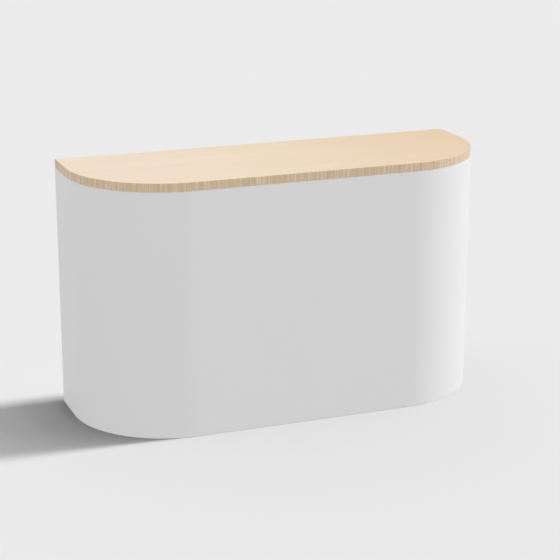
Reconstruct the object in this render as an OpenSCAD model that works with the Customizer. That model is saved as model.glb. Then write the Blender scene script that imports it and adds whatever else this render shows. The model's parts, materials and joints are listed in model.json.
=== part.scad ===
// Checkout counter with a D-shaped plan: a bent white shell faces the customer,
// a wood-faced top covers it, and drawers, shelves and a cupboard face the staff.
// Frame: +X to the customer's right, -Y towards the customer, +Y towards the staff, +Z up.
// The origin is on the floor under the centre of the counter.

/* [Overall] */
// Width over the shell
counter_w = 1500; // [1440:10:1800]
// Depth from the customer face to the staff edge
counter_d = 510; // [500:5:560]
// Height from the floor to the top surface
counter_h = 900; // [860:5:1000]
// Radius of the two front corners
corner_r = 345; // [320:5:350]
// Gap between the floor and the shell
floor_gap = 0.5; // [0.5:0.5:6]

/* [Boards] */
// Thickness of the countertop
top_t = 30; // [25:1:40]
// Thickness of the edge bands round the countertop
band_t = 1.5; // [1:0.5:3]
// Thickness of the cabinet boards
board_t = 18; // [16:1:19]
// Thickness of the boards inside the shell's skin
core_t = 17; // [15:1:18]
// Thickness of the laminate skin and of the strips on the shell's rear ends
skin_t = 1; // [0.8:0.1:1.5]
// Thickness of the drawer sides and backs
drawer_t = 15; // [12:1:16]
// Thickness of the drawer bottoms
bottom_t = 6; // [4:1:8]

/* [Layout] */
// Clear width of the middle bay, between the dividers
bay_w = 482; // [450:1:520]
// How far the staff-side fronts sit inside the rear edge of the top
staff_recess = 20; // [18:1:40]
// How far the toe board sits behind the fronts
toe_recess = 60; // [50:5:80]
// Height of the underside of the base board
base_z = 82; // [80:1:100]
// Gap above and below doors and drawer fronts
front_gap = 3; // [3:0.5:4]
// Gap between a drawer front and a divider
side_gap = 2; // [1.5:0.5:3]
// Height of the cash drawer's front
cash_front_h = 150; // [140:5:170]
// Underside of the shelf above the deep drawer
niche_z = 400; // [380:5:415]
// Travel of the levelling feet below the resting position
foot_travel = 20; // [10:1:20]

/* [Hardware] */
// Length of the drawer runners
runner_l = 400; // [350:50:400]
// Width that one runner takes between divider and drawer
runner_w = 12.7; // [12.5:0.1:13]
// Radius of the cable holes
cable_r = 28; // [25:1:30]
// Length of the pulls
pull_l = 160; // [128:2:192]

/* [Hidden] */
$fn = 96;
half_w = counter_w / 2;
rear_y = counter_d / 2;
arc_x = half_w - corner_r;              // centres of the corner arcs
arc_y = corner_r - rear_y;
wall_t = skin_t + core_t;
in_x = half_w - wall_t;                 // inner faces of the shell
in_y = wall_t - rear_y;
shell_z = counter_h - top_t;            // top of the shell
shell_h = shell_z - floor_gap;
strip_y = rear_y - skin_t;              // where the shell's boards end at the rear
face_y = rear_y - staff_recess;         // outer face of the staff-side fronts
back_y = face_y - board_t;              // inner face of the fronts
floor_z = base_z + board_t;             // top of the base board
roof_z = shell_z - board_t;             // underside of the sub top
bay_x = bay_w / 2;                      // divider faces towards the middle bay
side_x = bay_x + board_t;               // divider faces towards the side bays
divider_x = bay_x + board_t / 2;
toe_y = face_y - toe_recess;
cash_z = roof_z - front_gap - cash_front_h;
niche_roof_z = cash_z - front_gap - board_t;
deep_z = floor_z + front_gap;
deep_front_h = niche_z - front_gap - deep_z;
open_shelf_h = (roof_z - floor_z - 2 * board_t) / 3;
open_shelf_z = [floor_z + open_shelf_h, floor_z + 2 * open_shelf_h + board_t];
cabinet_shelf_z = (floor_z + roof_z) / 2 - board_t / 2;
fit = 0.05;                             // clearance round pins, plugs and screws
touch = 0.01;                           // tools reach this far past a face

// Drawer boxes: [underside, height of the sides, height of the runners' centre line]
cash_box = [cash_z + 13, 100, cash_z + 51];
deep_box = [deep_z + 15, 240, deep_z + 97];
box_x = bay_x - runner_w;               // outer faces of the boxes
box_y = back_y - runner_l;              // rear face, towards the customer
groove_d = 5;                           // the bottom stands in a groove this deep
groove_gap = 0.2;
groove_z = 10;                          // and this far above the underside
runner_h = 45;
runner_t = 1.2;
runner_gap = 0.3;

// Door and pivots
door_z = [floor_z + front_gap, roof_z - front_gap];
door_free_x = side_x + 3;
door_hinge_x = in_x - 4;
pivot_x = door_hinge_x - 12;
pivot_y = back_y + board_t / 2;
pivot_r = 3;
pivot_l = 10;
pivot_plate_t = 1.8;
bush_r = 5;
bush_l = 12;

// Locks: a turning plug with a cam behind the front
lock_case_r = 9.5;
lock_plug_r = 6.5;
lock_rose_r = 12;
lock_rose_t = 1.5;
lock_nut_r = 13;
lock_nut_t = 4;
cam_l = 38;
cam_w = 12;
cam_t = 2;
cam_y = back_y - 8;
cam_gap = 2;                            // clearance round the cam in its pocket
pocket_d = 8;
cash_lock_x = 140;
cash_lock_z = roof_z - 33;
door_lock_x = side_x + 31;
door_lock_z = 600;

// Pulls: strips over a board's edge
pull_t = 1.5;
pull_reach = 16;
pull_leg = 18;
door_pull_z = door_lock_z + 40 + pull_l / 2;

// Magnet catch under the sub top and its plate on the door
catch_x = side_x + 41;
catch_w = 46;
catch_h = 16;
catch_d = 22;
strike_t = 1.5;
strike_inset = 3;

// Feet: [x, y] of each, and the sockets they screw into
foot_at = [[-660, toe_y - 50], [-divider_x, toe_y - 50], [divider_x, toe_y - 50], [660, toe_y - 50],
           [-330, -190], [330, -190]];
foot_r = 28;
foot_h = 8;
nut_r = 19;
nut_h = 10;
stem_r = 13;
stem_top = base_z - 14;
socket_z = 28;
socket_t = 4;
socket_flange = 62;
socket_flange_t = 5;

// Shelf pins: rows of holes in the right divider and the right end panel
pin_r = 2.5;
pin_in = 8;
pin_hole_d = 10;
pin_pitch = 32;
pin_rows = [-3 : 3];
divider_pin_y = [-180, 185];
end_pin_y = [arc_y + 25, 185];
pin_z = cabinet_shelf_z - pin_r;
shelf_play = 1;

// Cable holes: one through the base board, one through the left divider
outlet_at = [-480, -120];
pass_y = -140;
pass_z = max((open_shelf_z[0] + open_shelf_z[1] + board_t) / 2, niche_z + board_t + cable_r + 15);
sleeve_t = 2;
sleeve_flange = 7;

// Fasteners
screw_r = 2;
screw_head_r = 4.4;
screw_head_h = 2.5;
screw_sink = 3;
worktop_screw_l = 33;
worktop_screw_at = [[-680, 180], [-340, 180], [0, 180], [340, 180], [680, 180],
                    [-600, -60], [600, -60], [-340, -200], [0, -200], [340, -200]];
shell_screw_l = 46;
shell_screw_sink = 4;
shell_screw_at = concat(
    [for (x = [-divider_x, divider_x], z = [220, 490, 780]) [x, z]],
    [for (x = [-360, -120, 120, 360], z = [floor_z - board_t / 2, roof_z + board_t / 2]) [x, z]]);
cam_fitting_r = 7.5;
cam_fitting_l = 12.5;
cam_fitting_y = [-150, 150];
cam_inset = 34;                         // from a divider's end to the centre of its cam fitting
bolt_r = 3.4;
bolt_l = cam_inset - cam_fitting_r - 0.2;
bolt_tip_r = 2.4;
bolt_tip_l = 11;
dowel_r = 4;
dowel_l = 30;
dowel_in = 12;                          // how much of a dowel stands in the upright board
end_dowel_in = 10;
dowel_y = [-170, 170];
end_dowel_y = [arc_y + 40, 200];
spline_t = 6;
spline_w = 20;
spline_end = 40;

// Colours
white = "#f1f1ef";
board_white = "#ecebe8";
maple = "#e8d2b2";
maple_edge = "#cdb491";
birch = "#dcc39c";
steel = "#a9adb0";
aluminium = "#c3c5c7";
black = "#26272a";

FOOT_NODES = [for (i = [1 : len(foot_at)]) str("levelling_foot_", i)];

// ---------- Shared shapes ----------

// A box between two corners
module slab(low, high) translate(low) cube(high - low);

// Rods along +X, +Y and +Z from a point
module rod_x(at, r, l) translate(at) rotate([0, 90, 0]) cylinder(r = r, h = l);
module rod_y(at, r, l) translate(at) rotate([-90, 0, 0]) cylinder(r = r, h = l);
module rod_z(at, r, l) translate(at) cylinder(r = r, h = l);

// Its children, and their mirror image on the other side of the counter
module both_sides() for (side = [0, 1]) mirror([side, 0, 0]) children();

// Its children, which stand on the base board, and their mirror image under the sub top
module both_ends()
    for (end = [0, 1]) translate([0, 0, end * (floor_z + roof_z)]) mirror([0, 0, end]) children();

// A quarter ring at a front corner: side -1 is left, 1 is right
module corner_ring(side, r_in, r_out, z, h)
    translate([side * arc_x, arc_y, z])
        rotate([0, 0, side < 0 ? 180 : -90])
            rotate_extrude(angle = 90)
                translate([r_in, 0]) square([r_out - r_in, h]);

// A board with the counter's plan, inset from the outline, up to a rear edge
module plan_board(inset, rear, z, t) {
    slab([inset - half_w, arc_y, z], [half_w - inset, rear, z + t]);
    slab([-arc_x, inset - rear_y, z], [arc_x, arc_y, z + t]);
    for (side = [-1, 1]) corner_ring(side, 0, corner_r - inset, z, t);
}

// A layer that follows the plan's ends and front, at an inset from the outline
module plan_wrap(inset, t, rear, z, h) {
    both_sides() slab([half_w - inset - t, arc_y, z], [half_w - inset, rear, z + h]);
    slab([-arc_x, inset - rear_y, z], [arc_x, inset + t - rear_y, z + h]);
    for (side = [-1, 1]) corner_ring(side, corner_r - inset - t, corner_r - inset, z, h);
}

// A board that fills one side bay: side -1 is left, 1 is right
module side_board(side, gap, rear, z)
    intersection() {
        plan_board(wall_t + gap, rear, z, board_t);
        slab([side < 0 ? -half_w : side_x + gap, -rear_y, z - 1],
             [side < 0 ? -side_x - gap : half_w, rear_y, z + board_t + 1]);
    }

// ---------- Countertop ----------

module worktop_screw_shapes(r, z, l)
    for (p = worktop_screw_at) rod_z([p.x, p.y, z], r, l);

module countertop_panel() color(maple) difference() {
    plan_board(band_t, rear_y - band_t, shell_z, top_t);
    worktop_screw_shapes(screw_r + fit, shell_z - touch, worktop_screw_l + screw_sink - board_t + 2);
}

module countertop_edge_band() color(maple_edge) plan_wrap(0, band_t, rear_y, shell_z, top_t);

module countertop_rear_band() color(maple_edge)
    slab([band_t - half_w, rear_y - band_t, shell_z], [half_w - band_t, rear_y, counter_h]);

module worktop_screws() color(steel) {
    worktop_screw_shapes(screw_head_r, roof_z + screw_sink - screw_head_h, screw_head_h);
    worktop_screw_shapes(screw_r, roof_z + screw_sink, worktop_screw_l);
}

// ---------- Shell ----------

// Splines across the four joints between the shell's boards, or their slots with a gap
module spline_shapes(gap) {
    mid = skin_t + core_t / 2;
    t = spline_t / 2 + gap / 2;
    w = spline_w / 2 + gap;
    z = [floor_gap + spline_end - gap, shell_z - spline_end + gap];
    both_sides() {
        slab([arc_x - w, mid - rear_y - t, z[0]], [arc_x + w, mid - rear_y + t, z[1]]);
        slab([half_w - mid - t, arc_y - w, z[0]], [half_w - mid + t, arc_y + w, z[1]]);
    }
}

module shell_skin() color(white) plan_wrap(0, skin_t, strip_y, floor_gap, shell_h);

module front_panel() color(board_white) difference() {
    slab([-arc_x, skin_t - rear_y, floor_gap], [arc_x, in_y, shell_z]);
    spline_shapes(groove_gap);
    shell_screw_holes();
}

module corner_panel(side) color(board_white) difference() {
    corner_ring(side, corner_r - wall_t, corner_r - skin_t, floor_gap, shell_h);
    spline_shapes(groove_gap);
}

module end_panel(side) color(board_white) difference() {
    slab([side < 0 ? skin_t - half_w : in_x, arc_y, floor_gap],
         [side < 0 ? -in_x : half_w - skin_t, strip_y, shell_z]);
    spline_shapes(groove_gap);
    dowel_shapes(dowel_r + fit, touch);
    pin_holes(in_x - touch, end_pin_y);
}

module shell_end_strips() color(white)
    both_sides() slab([in_x, strip_y, floor_gap], [half_w, rear_y, shell_z]);

module shell_splines() color(birch) spline_shapes(0);

// Screws from under the skin into the dividers, the base board and the sub top
module shell_screw_shapes(r, head_r, reach)
    for (p = shell_screw_at) {
        rod_y([p.x, skin_t - rear_y - reach, p.y], head_r, shell_screw_sink + reach);
        rod_y([p.x, skin_t - rear_y + shell_screw_sink, p.y], r, shell_screw_l);
    }

module shell_screws() color(steel) shell_screw_shapes(screw_r, screw_head_r, 0);
module shell_screw_holes() shell_screw_shapes(screw_r + fit, screw_head_r + fit, touch);

// ---------- Carcass ----------

module sub_top() color(board_white) difference() {
    plan_board(wall_t, face_y, roof_z, board_t);
    worktop_screw_shapes(screw_r + fit, roof_z - touch, board_t + 2 * touch);
    worktop_screw_shapes(screw_head_r + fit, roof_z - touch, screw_sink + touch);
    shell_screw_holes();
    cam_bolt_holes();
    slab([cash_lock_x - cam_w, cam_y - cam_gap, roof_z - touch],
         [cash_lock_x + 2 * cam_w + cam_gap, cam_y + cam_t + cam_gap, roof_z + pocket_d]);
}

module base_panel() color(board_white) difference() {
    plan_board(wall_t, face_y, base_z, board_t);
    rod_z([outlet_at.x, outlet_at.y, base_z - touch], cable_r + sleeve_t + fit, board_t + 2 * touch);
    shell_screw_holes();
    cam_bolt_holes();
}

// The shape that both dividers share: side -1 is left, 1 is right
module divider(side) difference() {
    slab([side < 0 ? -side_x : bay_x, in_y, floor_z], [side < 0 ? -bay_x : side_x, face_y, roof_z]);
    shell_screw_holes();
    dowel_shapes(dowel_r + fit, touch);
    cam_fitting_rods(cam_fitting_r + fit, touch);
    for (y = cam_fitting_y)
        both_ends() rod_z([side * divider_x, y, floor_z - touch], bolt_r + fit, cam_inset);
}

module divider_left() color(board_white) difference() {
    divider(-1);
    rod_x([-side_x - touch, pass_y, pass_z], cable_r + sleeve_t + fit, board_t + 2 * touch);
}

module divider_right() color(board_white) difference() {
    divider(1);
    pin_holes(side_x - pin_hole_d, divider_pin_y);
    slab([side_x - pocket_d - cam_gap, cam_y - cam_gap, door_lock_z - 2 * cam_w - cam_gap],
         [side_x + touch, cam_y + cam_t + cam_gap, door_lock_z + cam_w]);
}

module toe_board() color(board_white)
    slab([-in_x, toe_y - board_t, floor_gap], [in_x, toe_y, base_z]);

module open_shelf(z) color(board_white) difference() {
    side_board(-1, 0, face_y, z);
    dowel_shapes(dowel_r + fit, touch);
}

module niche_board(z) color(board_white) difference() {
    slab([-bay_x, in_y, z], [bay_x, face_y, z + board_t]);
    dowel_shapes(dowel_r + fit, touch);
}

module cabinet_shelf() color(board_white)
    side_board(1, shelf_play, cam_y - 4, cabinet_shelf_z);

module pin_holes(x, columns)
    for (y = columns, i = pin_rows) rod_x([x, y, pin_z + i * pin_pitch], pin_r + fit, pin_hole_d + touch);

module shelf_pins() color(steel) {
    for (y = divider_pin_y) rod_x([side_x - pin_in, y, pin_z], pin_r, 2 * pin_in);
    for (y = end_pin_y) rod_x([in_x - pin_in, y, pin_z], pin_r, 2 * pin_in);
}

// Dowels between the fixed boards and the uprights beside them
module dowel_shapes(r, reach) {
    l = dowel_l + 2 * reach;
    for (z = [niche_z, niche_roof_z], y = dowel_y)
        both_sides() rod_x([bay_x + dowel_in - dowel_l - reach, y, z + board_t / 2], r, l);
    for (z = open_shelf_z) {
        for (y = dowel_y) rod_x([-side_x + dowel_in - dowel_l - reach, y, z + board_t / 2], r, l);
        for (y = end_dowel_y) rod_x([-in_x - end_dowel_in - reach, y, z + board_t / 2], r, l);
    }
}

module shelf_dowels() color(birch) dowel_shapes(dowel_r, 0);

// Round cam fittings in the dividers' outer faces, and bolts from them into the boards above and below
module cam_fitting_rods(r, reach)
    for (y = cam_fitting_y)
        both_sides() both_ends()
            rod_x([side_x - cam_fitting_l, y, floor_z + cam_inset], r, cam_fitting_l + reach);

module cam_fittings() color(steel) difference() {
    cam_fitting_rods(cam_fitting_r, 0);
    for (y = cam_fitting_y, turn = [0, 90])
        both_sides() both_ends()
            translate([side_x, y, floor_z + cam_inset]) rotate([turn, 0, 0]) cube([5, 1.6, 9], center = true);
}

module cam_bolt_rods(r, tip_r, tip_l)
    for (y = cam_fitting_y)
        both_sides() both_ends() {
            rod_z([divider_x, y, floor_z], r, bolt_l);
            rod_z([divider_x, y, floor_z - tip_l], tip_r, tip_l);
        }

module cam_bolts() color(steel) cam_bolt_rods(bolt_r, bolt_tip_r, bolt_tip_l);
module cam_bolt_holes() cam_bolt_rods(bolt_r, bolt_tip_r + fit, bolt_tip_l + 1);

// ---------- Drawers ----------

// One pair of runner channels, level above z. Distances u are from the divider towards the drawer:
// the web stands at web_u and the flanges reach over flange_u.
module runner_channels(z, half_h, web_u, flange_u)
    both_sides() {
        slab([bay_x - web_u - runner_t, box_y, z - half_h], [bay_x - web_u, back_y - 2, z + half_h]);
        for (low = [z - half_h, z + half_h - runner_t])
            slab([bay_x - flange_u[1], box_y, low], [bay_x - flange_u[0], back_y - 2, low + runner_t]);
    }

// The middle channel nests in the outer one, and the inner one in the middle one
runner_step = runner_t + runner_gap;
module outer_runners(box) color(steel)
    runner_channels(box[2], runner_h / 2, 0, [0, runner_w - 3.2]);
module middle_runners(box) color(steel)
    runner_channels(box[2], runner_h / 2 - runner_step, runner_step, [runner_step, runner_w - 1.8]);
module inner_runners(box) color(steel)
    runner_channels(box[2], runner_h / 2 - 2 * runner_step, runner_w - runner_t, [2 * runner_step, runner_w]);

module cabinet_runners() {
    outer_runners(cash_box);
    outer_runners(deep_box);
}

function bottom_z(box) = box[0] + groove_z;

// The bottom board, or its groove with a gap
module bottom_shape(box, gap) {
    x = box_x - drawer_t + groove_d + gap;
    slab([-x, box_y, bottom_z(box) - gap / 2],
         [x, back_y + groove_d + gap, bottom_z(box) + bottom_t + gap / 2]);
}

module drawer_front(z, h, box) difference() {
    slab([side_gap - bay_x, back_y, z], [bay_x - side_gap, face_y, z + h]);
    bottom_shape(box, groove_gap);
}

module drawer_sides(box) color(birch) difference() {
    both_sides() slab([box_x - drawer_t, box_y, box[0]], [box_x, back_y, box[0] + box[1]]);
    bottom_shape(box, groove_gap);
}

// The back stands on the bottom board, between the sides
module drawer_back(box) color(birch)
    slab([drawer_t - box_x, box_y, bottom_z(box) + bottom_t],
         [box_x - drawer_t, box_y + drawer_t, box[0] + box[1]]);

module drawer_bottom(box) color(birch) bottom_shape(box, 0);

module cash_drawer_front() color(board_white) difference() {
    drawer_front(cash_z, cash_front_h, cash_box);
    lock_hole(cash_lock_x, cash_lock_z);
}

module deep_drawer_front() color(board_white) drawer_front(deep_z, deep_front_h, deep_box);

// A pull: a strip over a board's edge, with a lip in front of the board and a leg behind it.
// It runs along +X, with the board's outer top edge at the origin and the board towards -Y.
module edge_pull() color(aluminium)
    translate([-pull_l / 2, 0, 0]) rotate([90, 0, 90]) linear_extrude(pull_l) polygon([
        [-board_t, 0], [-board_t, -pull_leg], [-board_t - pull_t, -pull_leg], [-board_t - pull_t, pull_t],
        [pull_reach - pull_t, pull_t], [pull_reach, 0], [pull_reach, 1 - pull_leg * 2 / 3],
        [pull_reach - 0.75, -pull_leg * 2 / 3], [pull_reach - pull_t, 1 - pull_leg * 2 / 3],
        [pull_reach - pull_t, -1], [pull_reach - pull_t - 1, 0]]);

module drawer_pull(top_z) translate([0, face_y, top_z]) edge_pull();

// ---------- Locks ----------

module lock_hole(x, z) rod_y([x, back_y - touch, z], lock_case_r + fit, board_t + 2 * touch);

// The case goes through the front, with a rose outside and a nut inside
module lock_case(x, z) color(aluminium) difference() {
    union() {
        rod_y([x, face_y, z], lock_rose_r, lock_rose_t);
        rod_y([x, back_y - lock_nut_t - 1, z], lock_case_r, board_t + lock_nut_t + 1 + touch);
        rod_y([x, back_y - lock_nut_t, z], lock_nut_r, lock_nut_t);
    }
    rod_y([x, cam_y, z], lock_plug_r + fit, rear_y - cam_y);
}

// The plug turns in the case, with the cam on its inner end. turn points the cam: 0 is +X, 90 is -Z.
module lock_cylinder(x, z, turn) color(steel) {
    plug_y = cam_y + cam_t;
    end_y = face_y + lock_rose_t - 0.3;
    difference() {
        rod_y([x, plug_y, z], lock_plug_r, end_y - plug_y);
        slab([x - 0.7, end_y - 5, z - 4], [x + 0.7, end_y + touch, z + 4]);
    }
    translate([x, cam_y, z]) rotate([0, turn, 0]) {
        rod_y([0, 0, 0], lock_plug_r + 1.5, cam_t);
        slab([0, 0, -cam_w / 2], [cam_l, cam_t, cam_w / 2]);
    }
}

// ---------- Door ----------

module door_panel() color(board_white) difference() {
    slab([door_free_x, back_y, door_z[0]], [door_hinge_x, face_y, door_z[1]]);
    both_ends() rod_z([pivot_x, pivot_y, door_z[0] - touch], bush_r + fit, bush_l + 0.5);
    lock_hole(door_lock_x, door_lock_z);
}

module door_pull() translate([door_free_x, face_y, door_pull_z]) rotate([0, -90, 0]) edge_pull();

// Plates with pivot pins on the base board and the sub top
module pivot_plates() color(steel) both_ends() {
    slab([pivot_x - 16, pivot_y - 12, floor_z], [in_x, pivot_y + 8, floor_z + pivot_plate_t]);
    rod_z([pivot_x, pivot_y, floor_z + pivot_plate_t - touch], pivot_r, pivot_l);
}

// Bushes in the door's edges, with a thin flange between plate and door
module pivot_bushes() color(black) both_ends() difference() {
    union() {
        rod_z([pivot_x, pivot_y, door_z[0] - 1], bush_r + 2, 1);
        rod_z([pivot_x, pivot_y, door_z[0] - touch], bush_r, bush_l);
    }
    rod_z([pivot_x, pivot_y, floor_z], pivot_r + fit, bush_l + 2 * front_gap);
}

module magnet_catch() color(white) difference() {
    slab([catch_x, back_y - 2 - catch_d, roof_z - catch_h], [catch_x + catch_w, back_y - 2, roof_z]);
    slab([catch_x + 7, back_y - 3, roof_z - 13], [catch_x + catch_w - 7, back_y, roof_z - 4]);
}

module strike_plate() color(steel)
    slab([catch_x + strike_inset, back_y - strike_t, roof_z - catch_h + 1],
         [catch_x + catch_w - strike_inset, back_y, door_z[1] - 1]);

// ---------- Feet and cable sleeves ----------

// Tubes under the base board, which the stems of the feet turn in
module leg_sockets() color(black)
    for (p = foot_at) difference() {
        half = socket_flange / 2;
        union() {
            slab([p.x - half, p.y - half, base_z - socket_flange_t], [p.x + half, p.y + half, base_z]);
            rod_z([p.x, p.y, socket_z], stem_r + socket_t, base_z - socket_z - touch);
        }
        rod_z([p.x, p.y, socket_z - touch], stem_r + fit, stem_top + 6 - socket_z);
    }

// A disc with a chamfered sole, a hexagon to turn it by, and the stem
module levelling_foot(p) color(black) {
    rod_z([p.x, p.y, 0], foot_r - 2, 2);
    rod_z([p.x, p.y, 2], foot_r, foot_h - 2);
    translate([p.x, p.y, foot_h]) cylinder(r = nut_r, h = nut_h, $fn = 6);
    rod_z([p.x, p.y, foot_h + nut_h], stem_r, stem_top - foot_h - nut_h);
}

// A sleeve with a flange, along +Z: it stands 2 below the board and its flange lies on it
module cable_sleeve() difference() {
    union() {
        rod_z([0, 0, -board_t - 2], cable_r + sleeve_t, board_t + 2);
        cylinder(r = cable_r + sleeve_flange, h = 2);
    }
    rod_z([0, 0, -board_t - 3], cable_r, board_t + 6);
}

module cable_grommets() color(black) {
    translate([outlet_at.x, outlet_at.y, floor_z]) cable_sleeve();
    translate([-bay_x, pass_y, pass_z]) rotate([0, 90, 0]) cable_sleeve();
}

// ---------- Nodes ----------

countertop_panel();
countertop_edge_band();
countertop_rear_band();
shell_skin();
front_panel();
corner_panel(-1);  // corner_panel_left
corner_panel(1);  // corner_panel_right
end_panel(-1);  // end_panel_left
end_panel(1);  // end_panel_right
shell_end_strips();
shell_splines();
sub_top();
base_panel();
divider_left();
divider_right();
toe_board();
open_shelf(open_shelf_z[0]);  // open_shelf_lower
open_shelf(open_shelf_z[1]);  // open_shelf_upper
niche_board(niche_z);  // niche_shelf
niche_board(niche_roof_z);  // niche_roof
cabinet_shelf();
shelf_pins();
cabinet_runners();
cash_drawer_front();
drawer_sides(cash_box);  // cash_drawer_sides
drawer_back(cash_box);  // cash_drawer_back
drawer_bottom(cash_box);  // cash_drawer_bottom
drawer_pull(cash_z + cash_front_h);  // cash_drawer_pull
inner_runners(cash_box);  // cash_drawer_inner_runners
middle_runners(cash_box);  // cash_drawer_middle_runners
deep_drawer_front();
drawer_sides(deep_box);  // deep_drawer_sides
drawer_back(deep_box);  // deep_drawer_back
drawer_bottom(deep_box);  // deep_drawer_bottom
drawer_pull(deep_z + deep_front_h);  // deep_drawer_pull
inner_runners(deep_box);  // deep_drawer_inner_runners
middle_runners(deep_box);  // deep_drawer_middle_runners
lock_case(cash_lock_x, cash_lock_z);  // drawer_lock_case
lock_cylinder(cash_lock_x, cash_lock_z, 0);  // drawer_lock_cylinder
door_panel();
door_pull();
pivot_plates();
pivot_bushes();
lock_case(door_lock_x, door_lock_z);  // door_lock_case
lock_cylinder(door_lock_x, door_lock_z, 90);  // door_lock_cylinder
magnet_catch();
strike_plate();
leg_sockets();
cable_grommets();
worktop_screws();
cam_fittings();
cam_bolts();
shell_screws();
shelf_dowels();
for (i = [0 : len(foot_at) - 1])
    levelling_foot(foot_at[i]);
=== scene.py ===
import json
import math

import bmesh
import bpy
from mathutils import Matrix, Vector


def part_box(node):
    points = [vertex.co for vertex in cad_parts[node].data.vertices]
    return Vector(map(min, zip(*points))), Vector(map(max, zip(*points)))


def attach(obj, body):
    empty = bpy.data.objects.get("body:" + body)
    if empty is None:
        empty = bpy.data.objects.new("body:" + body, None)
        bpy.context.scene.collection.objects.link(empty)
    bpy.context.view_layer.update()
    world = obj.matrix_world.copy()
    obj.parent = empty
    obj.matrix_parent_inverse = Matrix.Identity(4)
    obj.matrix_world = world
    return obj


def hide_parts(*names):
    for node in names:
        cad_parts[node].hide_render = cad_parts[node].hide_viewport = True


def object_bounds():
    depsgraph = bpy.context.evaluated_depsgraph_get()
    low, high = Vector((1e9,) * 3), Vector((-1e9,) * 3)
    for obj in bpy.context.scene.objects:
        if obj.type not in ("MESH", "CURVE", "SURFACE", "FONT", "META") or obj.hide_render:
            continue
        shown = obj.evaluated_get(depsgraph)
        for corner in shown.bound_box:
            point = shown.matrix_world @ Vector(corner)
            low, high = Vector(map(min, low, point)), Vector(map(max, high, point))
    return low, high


# Looks for the checkout counter: its finishes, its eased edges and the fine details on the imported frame.
# Lengths are in metres in the frame's axes: +X to the customer's right, -Y to the customer, +Z up.

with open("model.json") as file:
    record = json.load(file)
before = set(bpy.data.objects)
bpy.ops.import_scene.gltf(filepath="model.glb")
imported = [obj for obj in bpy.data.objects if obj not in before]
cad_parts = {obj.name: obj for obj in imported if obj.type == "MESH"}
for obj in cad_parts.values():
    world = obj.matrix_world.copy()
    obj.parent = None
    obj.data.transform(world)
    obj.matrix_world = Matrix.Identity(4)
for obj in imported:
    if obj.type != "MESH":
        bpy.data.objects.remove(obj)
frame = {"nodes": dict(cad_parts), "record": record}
cad_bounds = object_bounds()
nodes = frame["nodes"]

# ---------- Measures, all from the frame ----------

MM = 0.001
counter_low, counter_high = cad_bounds
shell_low, shell_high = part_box("shell_skin")
band_low, band_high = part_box("countertop_edge_band")
panel_low, panel_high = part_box("countertop_panel")
corner_low, corner_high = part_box("corner_panel_left")
door_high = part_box("door_panel")[1]

HALF_WIDTH = band_high.x
ARC_X = -corner_high.x                      # the front corners turn about (-ARC_X, ARC_Y), (ARC_X, ARC_Y)
ARC_Y = corner_high.y
CORNER_RADIUS = HALF_WIDTH - ARC_X
BAND = panel_low.x - band_low.x             # thickness of the countertop's edge bands
SKIN = corner_low.x - shell_low.x           # thickness of the shell's laminate
FRONTS_Y = door_high.y                      # outer face of the door and the drawer fronts
BOARD_BAND = 1.0 * MM                       # thickness of the edge bands of the melamine boards
ARC_STEPS = 60                              # facets in a quarter turn of the shell
EASE_STEPS = 4                              # facets in a quarter turn of an eased edge
HAIRLINE = 0.15 * MM                        # chamfer where a band meets its board
SHARP = math.radians(40)                    # edges that bend more than this stay sharp


# ---------- Shader nodes ----------

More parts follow.
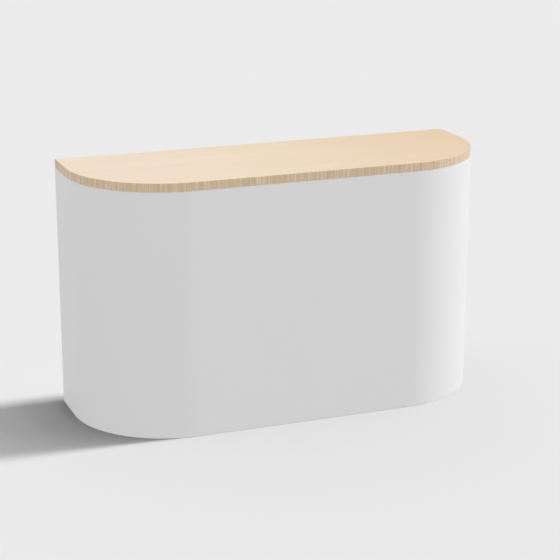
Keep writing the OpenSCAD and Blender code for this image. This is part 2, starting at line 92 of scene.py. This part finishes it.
class Finish:
    """One procedural material. Most methods add a shader node and return its output for the next one."""

    def __init__(self, name, colour, roughness, metallic=0.0):
        self.material = bpy.data.materials.new(name)
        self.material.use_nodes = True
        self.material.diffuse_color = (*colour, 1.0)
        self.tree = self.material.node_tree
        self.surface = self.tree.nodes["Principled BSDF"]
        self.set("Base Color", (*colour, 1.0))
        self.set("Roughness", roughness)
        self.set("Metallic", metallic)
        coordinates = self.tree.nodes.new("ShaderNodeTexCoord")
        self.place = coordinates.outputs["Object"]
        self.normal = coordinates.outputs["Normal"]

    def feed(self, socket, value):
        """Links value to socket when it is a node's output, and sets it when it is a number or a colour."""
        if isinstance(value, bpy.types.NodeSocket):
            self.tree.links.new(value, socket)
        else:
            socket.default_value = value

    def set(self, name, value):
        """Feeds an input of the finish's own surface shader."""
        self.feed(self.surface.inputs[name], value)

    def stretched(self, scale):
        """The place on the piece, with each axis multiplied by its own scale."""
        node = self.tree.nodes.new("ShaderNodeVectorMath")
        node.operation = "MULTIPLY"
        self.feed(node.inputs[0], self.place)
        node.inputs[1].default_value = scale
        return node.outputs[0]

    def noise(self, scale, detail=2.0, roughness=0.5, warp=0.0):
        """Smooth noise from 0 to 1 with so many features a metre along each axis."""
        node = self.tree.nodes.new("ShaderNodeTexNoise")
        self.feed(node.inputs["Vector"], self.stretched(scale))
        node.inputs["Scale"].default_value = 1.0
        node.inputs["Detail"].default_value = detail
        node.inputs["Roughness"].default_value = roughness
        node.inputs["Distortion"].default_value = warp
        return node.outputs["Fac"]

    def spread(self, value, low, high, new_low=0.0, new_high=1.0):
        """value from low to high becomes new_low to new_high, and stays inside them."""
        node = self.tree.nodes.new("ShaderNodeMapRange")
        for socket, number in zip(node.inputs, (value, low, high, new_low, new_high)):
            self.feed(socket, number)
        return node.outputs[0]

    def math(self, operation, first, second=0.0, third=0.0):
        """The result of one of Blender's arithmetic operations."""
        node = self.tree.nodes.new("ShaderNodeMath")
        node.operation = operation
        for socket, number in zip(node.inputs, (first, second, third)):
            self.feed(socket, number)
        return node.outputs[0]

    def axis(self, vector, index):
        """One component of a vector."""
        node = self.tree.nodes.new("ShaderNodeSeparateXYZ")
        self.feed(node.inputs[0], vector)
        return node.outputs[index]

    def mix(self, factor, first, second):
        """The first colour where factor is 0 and the second where it is 1."""
        node = self.tree.nodes.new("ShaderNodeMix")
        node.data_type = "RGBA"
        colours = [socket for socket in node.inputs if socket.type == "RGBA"]
        self.feed(node.inputs[0], factor)
        for socket, value in zip(colours, (first, second)):
            self.feed(socket, value if isinstance(value, bpy.types.NodeSocket) else (*value, 1.0))
        return [socket for socket in node.outputs if socket.type == "RGBA"][0]

    def seen_by(self, rays):
        """1 for one kind of ray and 0 for the others."""
        return self.tree.nodes.new("ShaderNodeLightPath").outputs[rays]

    def relief(self, height, depth, under=None):
        """Bump of so much depth, on top of an earlier relief."""
        node = self.tree.nodes.new("ShaderNodeBump")
        node.inputs["Distance"].default_value = depth
        self.feed(node.inputs["Height"], height)
        if under is not None:
            self.feed(node.inputs["Normal"], under)
        return node.outputs[0]


def shade(colour, factor):
    """A colour made darker or lighter by a factor."""
    return tuple(channel * factor for channel in colour)


# ---------- Materials ----------

X, Y, Z = 0, 1, 2
MAPLE = (0.925, 0.780, 0.610)
MAPLE_WARM = (0.850, 0.620, 0.390)
MAPLE_DEEP = (0.800, 0.600, 0.400)
MAPLE_BAND_LIGHT = (0.870, 0.720, 0.530)
MAPLE_BAND_DARK = (0.575, 0.375, 0.205)
LAMINATE = (0.845, 0.845, 0.845)
MELAMINE = (0.840, 0.838, 0.825)
BIRCH = (0.790, 0.655, 0.470)
BIRCH_DARK = (0.500, 0.345, 0.205)
ZINC = (0.560, 0.575, 0.590)
ALUMINIUM = (0.560, 0.565, 0.570)
NICKEL = (0.560, 0.540, 0.510)
BLACK = (0.020, 0.020, 0.021)
WHITE = (0.780, 0.780, 0.760)


def maple_veneer():
    """Pale maple that warms towards the right rear. Slow streaks and flat arches run along X under a satin
    lacquer, with fine fibres and short flecks."""
    finish = Finish("maple_veneer", MAPLE, 0.45)
    streaks = finish.noise((0.9, 16.0, 16.0), detail=4.0, roughness=0.6, warp=0.4)
    arches = finish.noise((0.7, 5.5, 5.5), detail=1.0, warp=1.2)
    rings = finish.math("SINE", finish.math("MULTIPLY", arches, 85.0))
    threads = finish.noise((3.0, 150.0, 150.0), detail=3.0, roughness=0.6)
    fibres = finish.noise((7.0, 620.0, 620.0), detail=3.0, roughness=0.65)
    flecks = finish.spread(finish.noise((48.0, 900.0, 900.0), detail=1.0), 0.64, 0.74)
    drift = finish.math("MULTIPLY_ADD", finish.noise((1.1, 2.3, 2.3), detail=1.0), 0.4, -0.2)
    to_right = finish.math("ADD", finish.axis(finish.place, X), drift)
    to_right_rear = finish.math("MULTIPLY_ADD", finish.axis(finish.place, Y), 0.6, to_right)
    warmth = finish.spread(to_right_rear, -0.45 * HALF_WIDTH, 1.1 * HALF_WIDTH)
    colour = finish.mix(warmth, MAPLE, MAPLE_WARM)
    for pattern, low, high, strength in ((streaks, 0.35, 0.75, 0.30), (rings, -0.2, 1.0, 0.12),
                                         (threads, 0.45, 0.75, 0.28), (fibres, 0.35, 0.70, 0.12)):
        colour = finish.mix(finish.spread(pattern, low, high, 0.0, strength), colour, MAPLE_DEEP)
    fleck_tone = finish.math("MULTIPLY", flecks, 0.30)
    finish.set("Base Color", finish.mix(fleck_tone, colour, shade(MAPLE_DEEP, 0.75)))
    finish.set("Roughness", finish.spread(fibres, 0.3, 0.7, 0.40, 0.52))
    finish.set("Coat Weight", 0.12)
    finish.set("Coat Roughness", 0.35)
    grain = finish.relief(fibres, 0.02 * MM)
    finish.set("Normal", finish.relief(flecks, -0.02 * MM, grain))
    return finish.material


def maple_band():
    """Wood edge band with its grain across the top's thickness, in broad, narrow and hair-thin lines."""
    finish = Finish("maple_band", MAPLE_BAND_LIGHT, 0.5)
    broad = finish.noise((70.0, 70.0, 1.5), detail=2.0)
    lines = finish.noise((270.0, 270.0, 5.0), detail=2.0, roughness=0.6)
    hairs = finish.noise((700.0, 700.0, 25.0), detail=2.0)
    colour = MAPLE_BAND_LIGHT
    for pattern, low, high, strength in ((broad, 0.30, 0.70, 0.22), (lines, 0.35, 0.65, 0.65),
                                         (hairs, 0.40, 0.75, 0.40)):
        colour = finish.mix(finish.spread(pattern, low, high, 0.0, strength), colour, MAPLE_BAND_DARK)
    finish.set("Base Color", colour)
    finish.set("Roughness", finish.spread(lines, 0.3, 0.7, 0.46, 0.58))
    grain = finish.relief(hairs, 0.03 * MM)
    finish.set("Normal", finish.relief(lines, 0.04 * MM, grain))
    return finish.material


def white_laminate():
    """Matte white laminate: a fine dry texture, and handling that has polished it a little in places."""
    finish = Finish("white_laminate", LAMINATE, 0.55)
    texture = finish.noise((1500.0, 1500.0, 1500.0), detail=2.0)
    cloud = finish.noise((3.0, 3.0, 3.0), detail=3.0)
    colour = finish.mix(finish.spread(cloud, 0.3, 0.7), shade(LAMINATE, 0.992), LAMINATE)
    # Little of the shell's light reaches the floor, which keeps a clear contact shadow.
    returned = shade(LAMINATE, 0.1)
    finish.set("Base Color", finish.mix(finish.seen_by("Is Diffuse Ray"), colour, returned))
    finish.set("Roughness", finish.spread(cloud, 0.3, 0.7, 0.50, 0.60))
    finish.set("Normal", finish.relief(texture, 0.01 * MM))
    return finish.material


def melamine(name, seams):
    """Melamine board with a pearl texture. A seam (axis, place) is where an edge band meets a face."""
    seam_core, seam_edge = 0.06 * MM, 0.16 * MM
    finish = Finish(name, MELAMINE, 0.42)
    pearl = finish.noise((700.0, 700.0, 700.0), detail=2.0)
    cloud = finish.noise((5.0, 5.0, 5.0), detail=2.0)
    colour = finish.mix(finish.spread(cloud, 0.3, 0.7), shade(MELAMINE, 0.98), MELAMINE)
    line = 0.0
    for axis, place in seams:
        distance = finish.math("ABSOLUTE", finish.math("SUBTRACT", finish.axis(finish.place, axis), place))
        line = finish.math("MAXIMUM", line, finish.spread(distance, seam_core, seam_edge, 1.0, 0.0))
    finish.set("Base Color", finish.mix(finish.math("MULTIPLY", line, 0.5), colour, shade(MELAMINE, 0.55)))
    finish.set("Roughness", finish.spread(pearl, 0.3, 0.7, 0.37, 0.47))
    finish.set("Normal", finish.relief(line, -0.1 * MM, finish.relief(pearl, 0.03 * MM)))
    return finish.material


def birch_plywood(name, layers, length):
    """Lacquered birch plywood. Its plies are stacked along the axis layers, its grain runs along length."""
    finish = Finish(name, BIRCH, 0.4)
    along = tuple(2.5 if axis == length else 30.0 for axis in (X, Y, Z))
    fibre_scale = tuple(14.0 if axis == length else 420.0 for axis in (X, Y, Z))
    broad = finish.noise(along, detail=4.0, roughness=0.6, warp=0.8)
    fibres = finish.noise(fibre_scale, detail=3.0)
    face = finish.mix(finish.spread(broad, 0.35, 0.7, 0.0, 0.30), BIRCH, shade(BIRCH_DARK, 1.35))
    face = finish.mix(finish.spread(fibres, 0.4, 0.7, 0.0, 0.18), face, BIRCH_DARK)
    ply = 1.5 * MM
    stack = finish.math("MULTIPLY", finish.axis(finish.place, layers), math.pi / ply)
    plies = finish.spread(finish.math("SINE", stack), -0.25, 0.25)
    speckle = finish.spread(finish.noise((350.0, 350.0, 350.0), detail=1.0), 0.3, 0.7, 0.75, 1.0)
    edge = finish.mix(finish.math("MULTIPLY", plies, speckle), shade(BIRCH, 0.93), shade(BIRCH_DARK, 1.15))
    facing = finish.math("ABSOLUTE", finish.axis(finish.normal, layers))
    finish.set("Base Color", finish.mix(finish.spread(facing, 0.45, 0.55), edge, face))
    finish.set("Roughness", finish.spread(fibres, 0.3, 0.7, 0.34, 0.46))
    finish.set("Normal", finish.relief(fibres, 0.02 * MM))
    return finish.material


def zinc_steel():
    """Dull zinc plate: soft spangle in tone and sheen, with faint rolling lines along Y."""
    finish = Finish("zinc_steel", ZINC, 0.38, metallic=1.0)
    cloud = finish.noise((60.0, 60.0, 60.0), detail=3.0)
    rolling = finish.noise((1200.0, 12.0, 1200.0), detail=2.0)
    spangle = finish.spread(cloud, 0.3, 0.7)
    finish.set("Base Color", finish.mix(spangle, shade(ZINC, 0.88), shade(ZINC, 1.08)))
    finish.set("Roughness", finish.spread(cloud, 0.3, 0.7, 0.32, 0.46))
    finish.set("Normal", finish.relief(rolling, 0.01 * MM))
    return finish.material


def brushed_metal(name, colour, brush, roughness):
    """Satin metal with brush lines along the axis brush."""
    finish = Finish(name, colour, roughness, metallic=1.0)
    lines = finish.noise(tuple(10.0 if axis == brush else 2200.0 for axis in (X, Y, Z)), detail=3.0)
    cloud = finish.noise((25.0, 25.0, 25.0), detail=2.0)
    finish.set("Base Color", finish.mix(finish.spread(cloud, 0.3, 0.7), shade(colour, 0.95), colour))
    finish.set("Roughness", finish.spread(lines, 0.3, 0.7, roughness - 0.06, roughness + 0.06))
    finish.set("Normal", finish.relief(lines, 0.01 * MM))
    return finish.material


def moulded_plastic(name, colour, roughness):
    """Moulded plastic with a fine spark-eroded grain and slightly uneven sheen."""
    finish = Finish(name, colour, roughness)
    grain = finish.noise((1600.0, 1600.0, 1600.0), detail=2.0)
    cloud = finish.noise((40.0, 40.0, 40.0), detail=2.0)
    tone = finish.spread(cloud, 0.3, 0.7)
    finish.set("Base Color", finish.mix(tone, shade(colour, 0.9), shade(colour, 1.1)))
    finish.set("Roughness", finish.spread(cloud, 0.3, 0.7, roughness - 0.05, roughness + 0.05))
    finish.set("Normal", finish.relief(grain, 0.03 * MM))
    return finish.material


def front_seams(node):
    """Where the edge bands show round the face of a drawer front or a door."""
    low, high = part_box(node)
    return [(X, low.x + BOARD_BAND), (X, high.x - BOARD_BAND), (Z, low.z + BOARD_BAND),
            (Z, high.z - BOARD_BAND)]


FRONTS = ("cash_drawer_front", "deep_drawer_front", "door_panel")
SLOT_MATERIALS = {
    "maple_veneer": maple_veneer(),
    "maple_band": maple_band(),
    "white_laminate": white_laminate(),
    "melamine_board": melamine("melamine_board", [(Y, FRONTS_Y - BOARD_BAND)]),
    "birch": birch_plywood("birch_sides", layers=X, length=Y),
    "zinc_steel": zinc_steel(),
    "anodised_aluminium": brushed_metal("anodised_aluminium", ALUMINIUM, brush=X, roughness=0.32),
    "nickel": brushed_metal("nickel", NICKEL, brush=Z, roughness=0.28),
    "black_plastic": moulded_plastic("black_plastic", BLACK, 0.5),
    "white_plastic": moulded_plastic("white_plastic", WHITE, 0.45),
}
NODE_MATERIALS = {front: melamine(front + "_melamine", front_seams(front)) for front in FRONTS}
NODE_MATERIALS["door_pull"] = brushed_metal("anodised_aluminium_upright", ALUMINIUM, brush=Z,
                                            roughness=0.32)
birch_back = birch_plywood("birch_back", layers=Y, length=X)
birch_bottom = birch_plywood("birch_bottom", layers=Z, length=X)
for drawer in ("cash_drawer", "deep_drawer"):
    NODE_MATERIALS[drawer + "_back"] = birch_back
    NODE_MATERIALS[drawer + "_bottom"] = birch_bottom


# ---------- Meshes ----------

def arc(centre_x, centre_y, radius, start, end, steps):
    """Points on an arc from one angle to another, in degrees."""
    angles = [math.radians(start + (end - start) * step / steps) for step in range(steps + 1)]
    return [(centre_x + radius * math.cos(angle), centre_y + radius * math.sin(angle)) for angle in angles]


def plan_path(inset, rear_y):
    """The counter's plan at an inset, from the rear left corner round the front to the rear right."""
    side = HALF_WIDTH - inset
    radius = CORNER_RADIUS - inset
    left = arc(-ARC_X, ARC_Y, radius, 180, 270, ARC_STEPS)
    right = arc(ARC_X, ARC_Y, radius, 270, 360, ARC_STEPS)
    return [(-side, rear_y)] + left + right + [(side, rear_y)]


def add_solid(work, loops):
    """Adds a closed solid through a row of loops with equal numbers of points."""
    rings = [[work.verts.new(point) for point in loop] for loop in loops]
    for ring, following in zip(rings, rings[1:]):
        for i in range(len(ring)):
            work.faces.new((ring[i - 1], ring[i], following[i], following[i - 1]))
    work.faces.new(rings[0])
    work.faces.new(rings[-1])


def make_piece(name, solids, material, body, replaced=()):
    """One piece of one or more solids, each a row of loops. It rides on a body, and may replace nodes."""
    mesh = bpy.data.meshes.new(name)
    work = bmesh.new()
    for loops in solids:
        add_solid(work, loops)
    bmesh.ops.recalc_face_normals(work, faces=work.faces)
    for face in work.faces:
        face.smooth = True
    work.to_mesh(mesh)
    work.free()
    mesh.set_sharp_from_angle(angle=SHARP)
    mesh.materials.append(material)
    piece = bpy.data.objects.new(name, mesh)
    bpy.context.scene.collection.objects.link(piece)
    even_normals(piece)
    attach(piece, body)
    if replaced:
        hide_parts(*replaced)


def even_normals(piece):
    """Large faces keep their own normals, and only the small faces between them bend the light."""
    normals = piece.modifiers.new("even normals", "WEIGHTED_NORMAL")
    normals.mode = "FACE_AREA"
    normals.keep_sharp = True


def wrap(profile, rear_y):
    """Loops of a layer that follows the plan, with a cross-section of (inset, height) points."""
    paths = [plan_path(inset, rear_y) for inset, height in profile]
    heights = [height for inset, height in profile]
    return [[(*path[i], height) for path, height in zip(paths, heights)] for i in range(len(paths[0]))]


def band_profile(thickness, low, high, ease):
    """Cross-section of an edge band: outer corners eased, a hairline chamfer where it meets the board."""
    bottom = arc(ease, low + ease, ease, 270, 180, EASE_STEPS)
    top = arc(ease, high - ease, ease, 180, 90, EASE_STEPS)
    return [(thickness, low)] + bottom + top + [(thickness - HAIRLINE, high), (thickness, high - HAIRLINE)]


def build_finer_piece(name, loops, slot, replaced):
    """One solid on the carcass that takes the place of a CAD node."""
    make_piece(name, [loops], SLOT_MATERIALS[slot], "carcass", [replaced])


def build_countertop():
    """The board, the band round its ends and front, and the band along its rear edge."""
    ease = 1.0 * MM
    profile = band_profile(BAND, band_low.z, band_high.z, ease)
    build_finer_piece("edge_band_eased", wrap(profile, band_high.y), "maple_band", "countertop_edge_band")
    rear_low, rear_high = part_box("countertop_rear_band")
    ends = [[(x, rear_high.y - inset, height) for inset, height in profile]
            for x in (rear_low.x, rear_high.x)]
    build_finer_piece("rear_band_eased", ends, "maple_band", "countertop_rear_band")
    levels = [(0.0, panel_low.z), (0.0, panel_high.z - HAIRLINE), (HAIRLINE, panel_high.z)]
    outlines = [[(x, y, height) for x, y in plan_path(BAND + inset, panel_high.y - inset)]
                for inset, height in levels]
    build_finer_piece("countertop_board", outlines, "maple_veneer", "countertop_panel")


def build_shell():
    """The laminate skin in one piece, its lower edge filed round."""
    ease = 0.25 * MM
    filed = arc(ease, shell_low.z + ease, ease, 270, 180, EASE_STEPS)
    profile = [(SKIN, shell_low.z)] + filed + [(0.0, shell_high.z), (SKIN, shell_high.z)]
    build_finer_piece("shell_skin_bent", wrap(profile, shell_high.y), "white_laminate", "shell_skin")


# ---------- Screws ----------

HEAD_RADIUS = 3.6 * MM                      # radius of a pan head
HEAD_STEPS = 32                             # facets round a head
CROSS_ARM = 0.55                            # reach of the cross recess, as a part of the head's radius
CROSS_HALF_WIDTH = 0.14                     # half the width of its arms, likewise
TURN_STEP = 0.9                             # radians from one screw's recess to the next one's


def cross_radius(angle):
    """How far a cross-shaped recess reaches from its centre at an angle."""
    tiny = 1e-6
    along, over = max(abs(math.cos(angle)), tiny), max(abs(math.sin(angle)), tiny)
    level_arm = min(CROSS_ARM / along, CROSS_HALF_WIDTH / over)
    upright_arm = min(CROSS_ARM / over, CROSS_HALF_WIDTH / along)
    return max(level_arm, upright_arm)


def pan_head(seat, facing, turn):
    """Loops of a pan head with a cross recess. It sits on a point and faces along an axis."""
    spin = Vector(facing).to_track_quat("Z", "Y")
    angles = [math.tau * step / HEAD_STEPS for step in range(HEAD_STEPS)]
    disc = [1.0] * HEAD_STEPS
    cross = [cross_radius(angle) for angle in angles]
    rim = [(disc, 1.0, 0.0), (disc, 1.0, 0.12), (disc, 0.93, 0.28), (disc, 0.74, 0.40)]
    recess = [(cross, 1.0, 0.43), (cross, 0.7, 0.14)]
    loops = []
    for outline, scale, height in rim + recess:
        points = [Vector((reach * scale * math.cos(angle + turn),
                          reach * scale * math.sin(angle + turn), height))
                  for reach, angle in zip(outline, angles)]
        loops.append([Vector(seat) + HEAD_RADIUS * (spin @ point) for point in points])
    return loops


def build_screws(name, body, seats):
    """Pan heads in one piece, each with its recess turned its own way."""
    heads = [pan_head(seat, facing, TURN_STEP * index) for index, (seat, facing) in enumerate(seats)]
    make_piece(name, heads, SLOT_MATERIALS["zinc_steel"], body)


def pull_screws(node, run):
    """Two screws in the leg of a pull, behind the board's edge. The pull runs along the axis run."""
    low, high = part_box(node)
    leg, lip = 18.0 * MM, 1.5 * MM
    spacing = 0.75                          # of the pull's length, from screw to screw
    centre = (low + high) / 2
    seats = []
    for side in (-spacing, spacing):
        seat = Vector((low.x + lip + leg / 2, low.y, low.z + leg / 2))
        seat[run] = centre[run] + side * (high[run] - low[run]) / 2
        seats.append((seat, (0, -1, 0)))
    return seats


def runner_screws(drawer):
    """Three screws a side, through the inner channels into the drawer's sides."""
    steel = 1.2 * MM
    sides_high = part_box(drawer + "_sides")[1]
    low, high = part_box(drawer + "_inner_runners")
    ends = 35.0 * MM
    return [((side * (sides_high.x + steel), y, (low.z + high.z) / 2), (side, 0, 0))
            for side in (-1, 1) for y in (low.y + ends, (low.y + high.y) / 2, high.y - ends)]


def socket_screws():
    """Four screws in the flange of each leg socket, from below."""
    flange, corner = 5.0 * MM, 23.5 * MM
    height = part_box("leg_sockets")[1].z - flange
    seats = []
    for node in sorted(name for name in nodes if name.startswith("levelling_foot")):
        low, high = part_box(node)
        centre = (low + high) / 2
        seats += [((centre.x + x, centre.y + y, height), (0, 0, -1))
                  for x in (-corner, corner) for y in (-corner, corner)]
    return seats


def build_all_screws():
    for drawer in ("cash_drawer", "deep_drawer"):
        build_screws(drawer + "_screws", drawer, pull_screws(drawer + "_pull", X) + runner_screws(drawer))
    build_screws("door_pull_screws", "door", pull_screws("door_pull", Z))
    build_screws("leg_socket_screws", "carcass", socket_screws())


# ---------- CAD nodes ----------

SAME_POINT = 0.01 * MM                      # corners this close are one corner
SAME_FACE = math.radians(0.5)               # faces that bend less than this are one face
EASED = math.radians(35)                    # edges that bend more than this are rounded
ROUNDING = {                                # how far the edges of each finish are rounded
    "maple_veneer": 0.3 * MM,
    "maple_band": 0.3 * MM,
    "white_laminate": 0.3 * MM,
    "melamine_board": 0.5 * MM,
    "birch": 0.8 * MM,
    "zinc_steel": 0.2 * MM,
    "anodised_aluminium": 0.25 * MM,
    "nickel": 0.2 * MM,
    "black_plastic": 0.5 * MM,
    "white_plastic": 0.6 * MM,
}


def dress(node, slot):
    """Gives a CAD node its finish and rounds its sharp edges, with modifiers only."""
    piece = nodes[node]
    piece.data.materials.clear()
    piece.data.materials.append(NODE_MATERIALS.get(node, SLOT_MATERIALS[slot]))
    weld = piece.modifiers.new("one skin", "WELD")
    weld.merge_threshold = SAME_POINT
    flat = piece.modifiers.new("flat faces", "DECIMATE")
    flat.decimate_type = "DISSOLVE"
    flat.angle_limit = SAME_FACE
    bevel = piece.modifiers.new("eased edges", "BEVEL")
    bevel.width = ROUNDING[slot]
    bevel.segments = 2
    bevel.limit_method = "ANGLE"
    bevel.angle_limit = EASED
    bevel.miter_outer = "MITER_ARC"
    even_normals(piece)


def dress_nodes():
    """Every node of the record, with its material slot's finish."""
    for part in frame["record"]["subparts"]:
        dress(part["node"], part["material_slot"])


# ---------- Stage, light and camera ----------

FLOOR = (0.82, 0.82, 0.82)
FLOOR_LIT = 0.84                            # how bright the open floor looks


def outside_plan(finish):
    """1 on the floor outside the counter's plan and 0 under the counter."""
    across = finish.math("ABSOLUTE", finish.axis(finish.place, X))
    past_arc = finish.math("MAXIMUM", finish.math("SUBTRACT", across, ARC_X), 0.0)
    before_arc = finish.math("MAXIMUM", finish.math("SUBTRACT", ARC_Y, finish.axis(finish.place, Y)), 0.0)
    reached = finish.math("SQRT", finish.math("MULTIPLY_ADD", past_arc, past_arc,
                                              finish.math("MULTIPLY", before_arc, before_arc)))
    beside = finish.math("GREATER_THAN", reached, CORNER_RADIUS)
    behind = finish.math("GREATER_THAN", finish.axis(finish.place, Y), counter_high.y)
    return finish.math("MAXIMUM", beside, behind)


def pale_floor():
    """Dull pale floor. The light that it sends back to the counter leaves out the counter's own shadow."""
    finish = Finish("floor", FLOOR, 0.9)
    finish.set("Specular IOR Level", 0.0)
    cloud = finish.noise((0.5, 0.5, 0.5), detail=2.0)
    colour = finish.mix(finish.spread(cloud, 0.3, 0.7), shade(FLOOR, 0.995), FLOOR)
    open_floor = finish.math("MULTIPLY", outside_plan(finish), finish.seen_by("Is Diffuse Ray"))
    finish.set("Base Color", finish.mix(open_floor, colour, (0.0, 0.0, 0.0)))
    finish.set("Emission Color", (1.0, 1.0, 1.0, 1.0))
    finish.set("Emission Strength", finish.math("MULTIPLY", open_floor, FLOOR_LIT))
    finish.material.cycles.emission_sampling = "NONE"
    return finish.material


def build_stage():
    """A floor that runs out of the picture on every side, a hair below the feet."""
    reach, drop = 40.0, 0.02 * MM
    mesh = bpy.data.meshes.new("floor")
    corners = [(x * reach, y * reach, -drop) for x, y in ((-1, -1), (1, -1), (1, 1), (-1, 1))]
    mesh.from_pydata(corners, [], [(0, 1, 2, 3)])
    mesh.materials.append(pale_floor())
    floor = bpy.data.objects.new("floor", mesh)
    bpy.context.scene.collection.objects.link(floor)


def world_ramp(tree, source, low, high, new_low, new_high):
    """An eased step in the world's shader: source from low to high becomes new_low to new_high."""
    node = tree.nodes.new("ShaderNodeMapRange")
    node.interpolation_type = "SMOOTHSTEP"
    tree.links.new(source, node.inputs[0])
    for socket, value in zip(node.inputs[1:], (low, high, new_low, new_high)):
        socket.default_value = value
    return node.outputs[0]


def world_product(tree, *factors):
    """The product of some values in the world's shader."""
    product = factors[0]
    for factor in factors[1:]:
        node = tree.nodes.new("ShaderNodeMath")
        node.operation = "MULTIPLY"
        tree.links.new(product, node.inputs[0])
        tree.links.new(factor, node.inputs[1])
        product = node.outputs[0]
    return product


def build_dome():
    """A dome that is brighter towards the horizon and dimmer towards the counter's ends. The camera sees it
    as bright as the floor."""
    horizon, overhead, overhead_from = 1.58, 0.26, 0.45
    left, right, ends_from = 0.8, 0.6, 0.3
    world = bpy.data.worlds.new("dome")
    world.use_nodes = True
    tree = world.node_tree
    direction = tree.nodes.new("ShaderNodeSeparateXYZ")
    tree.links.new(tree.nodes.new("ShaderNodeTexCoord").outputs["Generated"], direction.inputs[0])
    strength = world_product(
        tree, world_ramp(tree, direction.outputs[Z], 0.0, overhead_from, horizon, overhead),
        world_ramp(tree, direction.outputs[X], -1.0, -ends_from, left, 1.0),
        world_ramp(tree, direction.outputs[X], ends_from, 1.0, 1.0, right))
    shown = tree.nodes.new("ShaderNodeMix")
    tree.links.new(tree.nodes.new("ShaderNodeLightPath").outputs["Is Camera Ray"], shown.inputs[0])
    tree.links.new(strength, shown.inputs[2])
    shown.inputs[3].default_value = FLOOR_LIT
    tree.links.new(shown.outputs[0], tree.nodes["Background"].inputs["Strength"])
    tree.nodes["Background"].inputs["Color"].default_value = (1.0, 1.0, 1.0, 1.0)
    bpy.context.scene.world = world


def build_lamp(name, strength, elevation):
    """A far soft lamp to the right and a little to the front, so many degrees above the floor."""
    softness, frontward = math.radians(6), 0.037
    light = bpy.data.lights.new(name, "SUN")
    light.energy = strength
    light.angle = softness
    lamp = bpy.data.objects.new(name, light)
    climb = math.radians(elevation)
    towards = Vector((math.cos(climb), -frontward, math.sin(climb)))
    lamp.rotation_euler = towards.to_track_quat("Z", "Y").to_euler()
    bpy.context.scene.collection.objects.link(lamp)


def build_light():
    """A key from the customer's right, and a row of weaker lamps that climbs from it to overhead."""
    key_strength, weaker_strength, gain = 1.76, 0.14, 0.02
    key_elevation, step, weaker_lamps = 48, 8, 5
    build_dome()
    build_lamp("key", key_strength, key_elevation)
    for index in range(1, weaker_lamps + 1):
        build_lamp(f"key_{index}", weaker_strength + gain * index, key_elevation + step * index)


def build_camera():
    """The photograph's view: from the customer's left, a little above the top, through a long lens."""
    azimuth, elevation = math.radians(-21.03), math.radians(16.47)
    distance, focal_length = 6.143, 109.86
    back = Vector((math.sin(azimuth) * math.cos(elevation), -math.cos(azimuth) * math.cos(elevation),
                   math.sin(elevation)))
    camera = bpy.data.cameras.new("camera")
    camera.lens = focal_length
    camera.shift_x, camera.shift_y = -0.0011, -0.0002
    eye = bpy.data.objects.new("camera", camera)
    eye.location = (counter_low + counter_high) / 2 + distance * back
    eye.rotation_euler = back.to_track_quat("Z", "Y").to_euler()
    scene = bpy.context.scene
    scene.collection.objects.link(eye)
    scene.camera = eye
    scene.view_settings.view_transform = "Standard"


# ---------- The counter in its scene ----------

build_countertop()
build_shell()
build_all_screws()
dress_nodes()
build_stage()
build_light()
build_camera()
